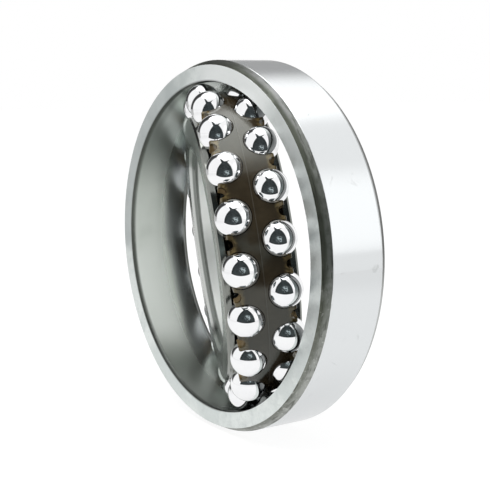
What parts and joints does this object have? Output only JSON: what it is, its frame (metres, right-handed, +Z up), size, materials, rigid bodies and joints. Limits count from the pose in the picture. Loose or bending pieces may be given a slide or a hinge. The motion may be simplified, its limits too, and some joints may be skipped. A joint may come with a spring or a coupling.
{
  "type": "self-aligning ball bearing",
  "caption": "Self-aligning ball bearing: an outer ring with a spherical raceway round a swivelled inner ring, two staggered rows of balls and a one-piece snap cage.",
  "frame": {"origin": "centre of the outer ring's spherical raceway, on the bearing axis in its middle plane", "axes": "+Y along the outer ring's axis from its front face (the one in the picture) to its back face, +Z up as the ring stands on its outside diameter, +X to the right seen from the front"},
  "size_m": [0.12, 0.0652, 0.12],
  "materials": {
    "outer_ring_steel": "ground bearing steel with satin side faces and a polished spherical raceway",
    "inner_ring_steel": "ground and honed bearing steel",
    "ball_steel": "mirror-polished bearing steel",
    "cage_polyamide": "satin dark brown polyamide, amber where it is thin"
  },
  "bodies": {
    "outer_ring": {"outer_ring": "outer_ring_steel"},
    "cage": {"cage": "cage_polyamide"},
    "inner_ring": {"inner_ring": "inner_ring_steel"},
    "front_ball_01": {"front_ball_01": "ball_steel"},
    "front_ball_02": {"front_ball_02": "ball_steel"},
    "front_ball_03": {"front_ball_03": "ball_steel"},
    "front_ball_04": {"front_ball_04": "ball_steel"},
    "front_ball_05": {"front_ball_05": "ball_steel"},
    "front_ball_06": {"front_ball_06": "ball_steel"},
    "front_ball_07": {"front_ball_07": "ball_steel"},
    "front_ball_08": {"front_ball_08": "ball_steel"},
    "front_ball_09": {"front_ball_09": "ball_steel"},
    "front_ball_10": {"front_ball_10": "ball_steel"},
    "front_ball_11": {"front_ball_11": "ball_steel"},
    "front_ball_12": {"front_ball_12": "ball_steel"},
    "front_ball_13": {"front_ball_13": "ball_steel"},
    "front_ball_14": {"front_ball_14": "ball_steel"},
    "front_ball_15": {"front_ball_15": "ball_steel"},
    "front_ball_16": {"front_ball_16": "ball_steel"},
    "front_ball_17": {"front_ball_17": "ball_steel"},
    "front_ball_18": {"front_ball_18": "ball_steel"},
    "front_ball_19": {"front_ball_19": "ball_steel"},
    "front_ball_20": {"front_ball_20": "ball_steel"},
    "rear_ball_01": {"rear_ball_01": "ball_steel"},
    "rear_ball_02": {"rear_ball_02": "ball_steel"},
    "rear_ball_03": {"rear_ball_03": "ball_steel"},
    "rear_ball_04": {"rear_ball_04": "ball_steel"},
    "rear_ball_05": {"rear_ball_05": "ball_steel"},
    "rear_ball_06": {"rear_ball_06": "ball_steel"},
    "rear_ball_07": {"rear_ball_07": "ball_steel"},
    "rear_ball_08": {"rear_ball_08": "ball_steel"},
    "rear_ball_09": {"rear_ball_09": "ball_steel"},
    "rear_ball_10": {"rear_ball_10": "ball_steel"},
    "rear_ball_11": {"rear_ball_11": "ball_steel"},
    "rear_ball_12": {"rear_ball_12": "ball_steel"},
    "rear_ball_13": {"rear_ball_13": "ball_steel"},
    "rear_ball_14": {"rear_ball_14": "ball_steel"},
    "rear_ball_15": {"rear_ball_15": "ball_steel"},
    "rear_ball_16": {"rear_ball_16": "ball_steel"},
    "rear_ball_17": {"rear_ball_17": "ball_steel"},
    "rear_ball_18": {"rear_ball_18": "ball_steel"},
    "rear_ball_19": {"rear_ball_19": "ball_steel"},
    "rear_ball_20": {"rear_ball_20": "ball_steel"}
  },
  "joints": [
    {"name": "swivel", "type": "hinge", "parent": "outer_ring", "child": "cage", "pos_m": [0, 0, 0], "axis": [0.2689, 0, -0.9632], "range_deg": [-117, 63]},
    {"name": "inner_ring_spin", "type": "hinge", "parent": "cage", "child": "inner_ring", "pos_m": [0, 0, 0], "axis": [0.4373, 0.891, 0.1221], "continuous": true},
    {"name": "front_ball_01_spin", "type": "hinge", "parent": "cage", "child": "front_ball_01", "pos_m": [0.04042, -0.02658, 0.00007], "axis": [0.5451, 0.8293, 0.1232], "continuous": true},
    {"name": "front_ball_02_spin", "type": "hinge", "parent": "cage", "child": "front_ball_02", "pos_m": [0.03729, -0.02705, 0.01475], "axis": [0.537, 0.828, 0.1612], "continuous": true},
    {"name": "front_ball_03_spin", "type": "hinge", "parent": "cage", "child": "front_ball_03", "pos_m": [0.03025, -0.02541, 0.02792], "axis": [0.5188, 0.8323, 0.1952], "continuous": true},
    {"name": "front_ball_04_spin", "type": "hinge", "parent": "cage", "child": "front_ball_04", "pos_m": [0.02, -0.02179, 0.03828], "axis": [0.4923, 0.8416, 0.222], "continuous": true},
    {"name": "front_ball_05_spin", "type": "hinge", "parent": "cage", "child": "front_ball_05", "pos_m": [0.00753, -0.01657, 0.04482], "axis": [0.4601, 0.8551, 0.2389], "continuous": true},
    {"name": "front_ball_06_spin", "type": "hinge", "parent": "cage", "child": "front_ball_06", "pos_m": [-0.00593, -0.01025, 0.0469], "axis": [0.4253, 0.8715, 0.2442], "continuous": true},
    {"name": "front_ball_07_spin", "type": "hinge", "parent": "cage", "child": "front_ball_07", "pos_m": [-0.01907, -0.00345, 0.04432], "axis": [0.3914, 0.889, 0.2376], "continuous": true},
    {"name": "front_ball_08_spin", "type": "hinge", "parent": "cage", "child": "front_ball_08", "pos_m": [-0.0306, 0.00317, 0.03733], "axis": [0.3616, 0.9061, 0.2195], "continuous": true},
    {"name": "front_ball_09_spin", "type": "hinge", "parent": "cage", "child": "front_ball_09", "pos_m": [-0.03939, 0.00895, 0.02661], "axis": [0.3389, 0.9211, 0.1918], "continuous": true},
    {"name": "front_ball_10_spin", "type": "hinge", "parent": "cage", "child": "front_ball_10", "pos_m": [-0.04458, 0.01333, 0.01322], "axis": [0.3255, 0.9324, 0.1572], "continuous": true},
    {"name": "front_ball_11_spin", "type": "hinge", "parent": "cage", "child": "front_ball_11", "pos_m": [-0.04566, 0.01589, -0.00154], "axis": [0.3227, 0.939, 0.1191], "continuous": true},
    {"name": "front_ball_12_spin", "type": "hinge", "parent": "cage", "child": "front_ball_12", "pos_m": [-0.04253, 0.01636, -0.01622], "axis": [0.3308, 0.9402, 0.0811], "continuous": true},
    {"name": "front_ball_13_spin", "type": "hinge", "parent": "cage", "child": "front_ball_13", "pos_m": [-0.0355, 0.01471, -0.02938], "axis": [0.3489, 0.936, 0.0471], "continuous": true},
    {"name": "front_ball_14_spin", "type": "hinge", "parent": "cage", "child": "front_ball_14", "pos_m": [-0.02524, 0.0111, -0.03974], "axis": [0.3754, 0.9266, 0.0203], "continuous": true},
    {"name": "front_ball_15_spin", "type": "hinge", "parent": "cage", "child": "front_ball_15", "pos_m": [-0.01278, 0.00588, -0.04628], "axis": [0.4077, 0.9131, 0.0034], "continuous": true},
    {"name": "front_ball_16_spin", "type": "hinge", "parent": "cage", "child": "front_ball_16", "pos_m": [0.00069, -0.00044, -0.04837], "axis": [0.4424, 0.8968, -0.0019], "continuous": true},
    {"name": "front_ball_17_spin", "type": "hinge", "parent": "cage", "child": "front_ball_17", "pos_m": [0.01383, -0.00725, -0.04579], "axis": [0.4764, 0.8792, 0.0047], "continuous": true},
    {"name": "front_ball_18_spin", "type": "hinge", "parent": "cage", "child": "front_ball_18", "pos_m": [0.02535, -0.01386, -0.0388], "axis": [0.5062, 0.8621, 0.0228], "continuous": true},
    {"name": "front_ball_19_spin", "type": "hinge", "parent": "cage", "child": "front_ball_19", "pos_m": [0.03414, -0.01964, -0.02808], "axis": [0.5289, 0.8472, 0.0505], "continuous": true},
    {"name": "front_ball_20_spin", "type": "hinge", "parent": "cage", "child": "front_ball_20", "pos_m": [0.03933, -0.02403, -0.01469], "axis": [0.5423, 0.8359, 0.0851], "continuous": true},
    {"name": "rear_ball_01_spin", "type": "hinge", "parent": "cage", "child": "rear_ball_01", "pos_m": [0.04462, -0.01639, 0.00898], "axis": [0.3254, 0.9403, 0.0998], "continuous": true},
    {"name": "rear_ball_02_spin", "type": "hinge", "parent": "cage", "child": "rear_ball_02", "pos_m": [0.03947, -0.0158, 0.02308], "axis": [0.3387, 0.9388, 0.0634], "continuous": true},
    {"name": "rear_ball_03_spin", "type": "hinge", "parent": "cage", "child": "rear_ball_03", "pos_m": [0.03072, -0.01313, 0.03499], "axis": [0.3613, 0.9319, 0.0326], "continuous": true},
    {"name": "rear_ball_04_spin", "type": "hinge", "parent": "cage", "child": "rear_ball_04", "pos_m": [0.01921, -0.00866, 0.04354], "axis": [0.391, 0.9203, 0.0105], "continuous": true},
    {"name": "rear_ball_05_spin", "type": "hinge", "parent": "cage", "child": "rear_ball_05", "pos_m": [0.00609, -0.00282, 0.04791], "axis": [0.4249, 0.9052, -0.0008], "continuous": true},
    {"name": "rear_ball_06_spin", "type": "hinge", "parent": "cage", "child": "rear_ball_06", "pos_m": [-0.00738, 0.00383, 0.04765], "axis": [0.4597, 0.8881, -0.0001], "continuous": true},
    {"name": "rear_ball_07_spin", "type": "hinge", "parent": "cage", "child": "rear_ball_07", "pos_m": [-0.01987, 0.01062, 0.04281], "axis": [0.492, 0.8705, 0.0124], "continuous": true},
    {"name": "rear_ball_08_spin", "type": "hinge", "parent": "cage", "child": "rear_ball_08", "pos_m": [-0.03015, 0.01689, 0.03384], "axis": [0.5186, 0.8543, 0.0356], "continuous": true},
    {"name": "rear_ball_09_spin", "type": "hinge", "parent": "cage", "child": "rear_ball_09", "pos_m": [-0.03723, 0.02204, 0.02164], "axis": [0.5369, 0.841, 0.0671], "continuous": true},
    {"name": "rear_ball_10_spin", "type": "hinge", "parent": "cage", "child": "rear_ball_10", "pos_m": [-0.04041, 0.02555, 0.00739], "axis": [0.5451, 0.8319, 0.1039], "continuous": true},
    {"name": "rear_ball_11_spin", "type": "hinge", "parent": "cage", "child": "rear_ball_11", "pos_m": [-0.03937, 0.02708, -0.00752], "axis": [0.5424, 0.828, 0.1425], "continuous": true},
    {"name": "rear_ball_12_spin", "type": "hinge", "parent": "cage", "child": "rear_ball_12", "pos_m": [-0.03422, 0.02649, -0.02161], "axis": [0.5291, 0.8295, 0.1789], "continuous": true},
    {"name": "rear_ball_13_spin", "type": "hinge", "parent": "cage", "child": "rear_ball_13", "pos_m": [-0.02547, 0.02383, -0.03352], "axis": [0.5065, 0.8364, 0.2097], "continuous": true},
    {"name": "rear_ball_14_spin", "type": "hinge", "parent": "cage", "child": "rear_ball_14", "pos_m": [-0.01397, 0.01935, -0.04208], "axis": [0.4768, 0.8479, 0.2318], "continuous": true},
    {"name": "rear_ball_15_spin", "type": "hinge", "parent": "cage", "child": "rear_ball_15", "pos_m": [-0.00084, 0.01351, -0.04644], "axis": [0.4428, 0.863, 0.243], "continuous": true},
    {"name": "rear_ball_16_spin", "type": "hinge", "parent": "cage", "child": "rear_ball_16", "pos_m": [0.01263, 0.00687, -0.04619], "axis": [0.408, 0.8802, 0.2424], "continuous": true},
    {"name": "rear_ball_17_spin", "type": "hinge", "parent": "cage", "child": "rear_ball_17", "pos_m": [0.02511, 0.00007, -0.04134], "axis": [0.3758, 0.8977, 0.2299], "continuous": true},
    {"name": "rear_ball_18_spin", "type": "hinge", "parent": "cage", "child": "rear_ball_18", "pos_m": [0.0354, -0.0062, -0.03238], "axis": [0.3492, 0.914, 0.2067], "continuous": true},
    {"name": "rear_ball_19_spin", "type": "hinge", "parent": "cage", "child": "rear_ball_19", "pos_m": [0.04248, -0.01135, -0.02017], "axis": [0.3309, 0.9273, 0.1752], "continuous": true},
    {"name": "rear_ball_20_spin", "type": "hinge", "parent": "cage", "child": "rear_ball_20", "pos_m": [0.04565, -0.01486, -0.00592], "axis": [0.3227, 0.9363, 0.1383], "continuous": true}
  ],
  "couplings": [
    {"joint": "front_ball_01_spin", "follows": "inner_ring_spin", "ratio": -7.6467},
    {"joint": "front_ball_02_spin", "follows": "inner_ring_spin", "ratio": -7.6467},
    {"joint": "front_ball_03_spin", "follows": "inner_ring_spin", "ratio": -7.6467},
    {"joint": "front_ball_04_spin", "follows": "inner_ring_spin", "ratio": -7.6467},
    {"joint": "front_ball_05_spin", "follows": "inner_ring_spin", "ratio": -7.6467},
    {"joint": "front_ball_06_spin", "follows": "inner_ring_spin", "ratio": -7.6467},
    {"joint": "front_ball_07_spin", "follows": "inner_ring_spin", "ratio": -7.6467},
    {"joint": "front_ball_08_spin", "follows": "inner_ring_spin", "ratio": -7.6467},
    {"joint": "front_ball_09_spin", "follows": "inner_ring_spin", "ratio": -7.6467},
    {"joint": "front_ball_10_spin", "follows": "inner_ring_spin", "ratio": -7.6467},
    {"joint": "front_ball_11_spin", "follows": "inner_ring_spin", "ratio": -7.6467},
    {"joint": "front_ball_12_spin", "follows": "inner_ring_spin", "ratio": -7.6467},
    {"joint": "front_ball_13_spin", "follows": "inner_ring_spin", "ratio": -7.6467},
    {"joint": "front_ball_14_spin", "follows": "inner_ring_spin", "ratio": -7.6467},
    {"joint": "front_ball_15_spin", "follows": "inner_ring_spin", "ratio": -7.6467},
    {"joint": "front_ball_16_spin", "follows": "inner_ring_spin", "ratio": -7.6467},
    {"joint": "front_ball_17_spin", "follows": "inner_ring_spin", "ratio": -7.6467},
    {"joint": "front_ball_18_spin", "follows": "inner_ring_spin", "ratio": -7.6467},
    {"joint": "front_ball_19_spin", "follows": "inner_ring_spin", "ratio": -7.6467},
    {"joint": "front_ball_20_spin", "follows": "inner_ring_spin", "ratio": -7.6467},
    {"joint": "rear_ball_01_spin", "follows": "inner_ring_spin", "ratio": -7.6467},
    {"joint": "rear_ball_02_spin", "follows": "inner_ring_spin", "ratio": -7.6467},
    {"joint": "rear_ball_03_spin", "follows": "inner_ring_spin", "ratio": -7.6467},
    {"joint": "rear_ball_04_spin", "follows": "inner_ring_spin", "ratio": -7.6467},
    {"joint": "rear_ball_05_spin", "follows": "inner_ring_spin", "ratio": -7.6467},
    {"joint": "rear_ball_06_spin", "follows": "inner_ring_spin", "ratio": -7.6467},
    {"joint": "rear_ball_07_spin", "follows": "inner_ring_spin", "ratio": -7.6467},
    {"joint": "rear_ball_08_spin", "follows": "inner_ring_spin", "ratio": -7.6467},
    {"joint": "rear_ball_09_spin", "follows": "inner_ring_spin", "ratio": -7.6467},
    {"joint": "rear_ball_10_spin", "follows": "inner_ring_spin", "ratio": -7.6467},
    {"joint": "rear_ball_11_spin", "follows": "inner_ring_spin", "ratio": -7.6467},
    {"joint": "rear_ball_12_spin", "follows": "inner_ring_spin", "ratio": -7.6467},
    {"joint": "rear_ball_13_spin", "follows": "inner_ring_spin", "ratio": -7.6467},
    {"joint": "rear_ball_14_spin", "follows": "inner_ring_spin", "ratio": -7.6467},
    {"joint": "rear_ball_15_spin", "follows": "inner_ring_spin", "ratio": -7.6467},
    {"joint": "rear_ball_16_spin", "follows": "inner_ring_spin", "ratio": -7.6467},
    {"joint": "rear_ball_17_spin", "follows": "inner_ring_spin", "ratio": -7.6467},
    {"joint": "rear_ball_18_spin", "follows": "inner_ring_spin", "ratio": -7.6467},
    {"joint": "rear_ball_19_spin", "follows": "inner_ring_spin", "ratio": -7.6467},
    {"joint": "rear_ball_20_spin", "follows": "inner_ring_spin", "ratio": -7.6467}
  ]
}
